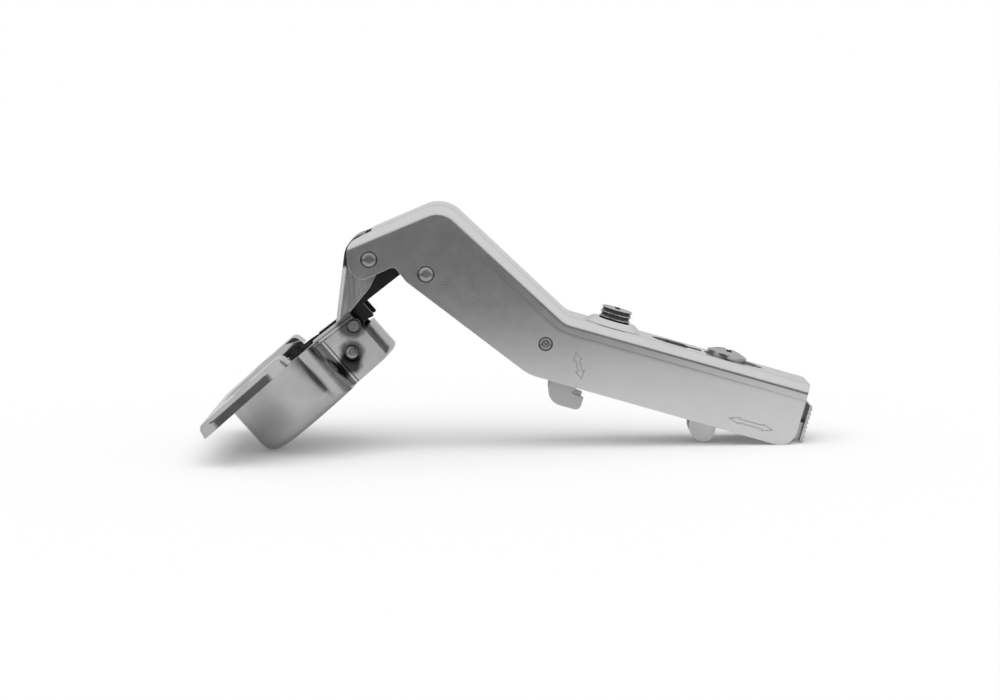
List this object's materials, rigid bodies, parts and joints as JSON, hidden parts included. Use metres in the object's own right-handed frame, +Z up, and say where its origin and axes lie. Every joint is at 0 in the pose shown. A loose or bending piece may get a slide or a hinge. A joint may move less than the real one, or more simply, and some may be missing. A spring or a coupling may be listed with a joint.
{
  "type": "concealed hinge",
  "caption": "Angled clip-on concealed cup hinge shown wide open: drawn cup with screw wings, two links, folded sheet arm with adjusting screws, hooks and a toothed release lever.",
  "frame": {"origin": "centre of the footprint, on the floor it stands on", "axes": "+X from the cup to the arm's tail, +Y across the hinge along its pins, +Z up; the hinge stands open as in the picture"},
  "size_m": [0.1248, 0.057, 0.0507],
  "materials": {
    "arm_nickel": "satin nickel-plated sheet",
    "cup_steel": "bright drawn nickel-plated sheet",
    "link_steel": "bright nickel-plated sheet",
    "dark_steel": "dark oiled steel",
    "pin_steel": "plain steel",
    "spring_steel": "drawn wire",
    "channel_steel": "plated sheet",
    "hook_steel": "plated sheet",
    "lever_steel": "plated sheet",
    "screw_zinc": "bright zinc"
  },
  "bodies": {
    "arm": {"hinge_arm": "arm_nickel", "arm_front_rivet": "pin_steel", "arm_rear_rivet": "pin_steel", "carrier_rivet": "pin_steel"},
    "outer_link": {"outer_link": "link_steel"},
    "cup": {"hinge_cup": "cup_steel", "cup_upper_pin": "pin_steel", "cup_lower_pin": "pin_steel", "closing_spring": "spring_steel"},
    "inner_link": {"inner_link": "dark_steel"},
    "carrier": {"tilt_carrier": "channel_steel"},
    "side_screw": {"side_adjust_screw": "screw_zinc"},
    "slide": {"hook_slide": "hook_steel", "guide_pin_front": "pin_steel", "guide_pin_rear": "pin_steel", "lever_pin": "pin_steel"},
    "cam": {"depth_cam_screw": "screw_zinc"},
    "lever": {"release_lever": "lever_steel", "lever_spring": "spring_steel"}
  },
  "joints": [
    {"name": "outer_link_swing", "type": "hinge", "parent": "arm", "child": "outer_link", "pos_m": [-0.02853, 0, 0.03978], "axis": [0, 1, 0], "range_deg": [-14, 0]},
    {"name": "cup_fold", "type": "hinge", "parent": "outer_link", "child": "cup", "pos_m": [-0.03241, 0, 0.02074], "axis": [0, 1, 0], "range_deg": [0, 112]},
    {"name": "inner_link_swing", "type": "hinge", "parent": "cup", "child": "inner_link", "pos_m": [-0.03197, 0, 0.0262], "axis": [0, 1, 0], "range_deg": [-136, 0]},
    {"name": "carrier_tilt", "type": "hinge", "parent": "arm", "child": "carrier", "pos_m": [0.00739, 0, 0.02179], "axis": [0, 1, 0], "range_deg": [-1.5, 1.5]},
    {"name": "side_screw_turn", "type": "hinge", "parent": "arm", "child": "side_screw", "pos_m": [0.02148, 0, 0.02451], "axis": [0.2907, 0, 0.9568], "range_deg": [-124.5, 124.5]},
    {"name": "slide_depth", "type": "slide", "parent": "carrier", "child": "slide", "axis": [0.9568, 0, -0.2907], "range_m": [-0.0017, 0.0017]},
    {"name": "cam_turn", "type": "hinge", "parent": "carrier", "child": "cam", "pos_m": [0.04502, 0, 0.01736], "axis": [0.2907, 0, 0.9568], "range_deg": [-60.5, 60.5]},
    {"name": "lever_release", "type": "hinge", "parent": "slide", "child": "lever", "pos_m": [0.04716, 0, 0.00616], "axis": [0, -1, 0], "range_deg": [0, 6], "stiffness_Nm_per_rad": 0.02, "springref_deg": -5.73}
  ],
  "couplings": [
    {"joint": "outer_link_swing", "follows": "cup_fold", "ratio": -0.125},
    {"joint": "inner_link_swing", "follows": "cup_fold", "ratio": -1.2143},
    {"joint": "side_screw_turn", "follows": "carrier_tilt", "ratio": 79.796},
    {"joint": "cam_turn", "follows": "slide_depth", "rad_per_m": 597.64}
  ]
}
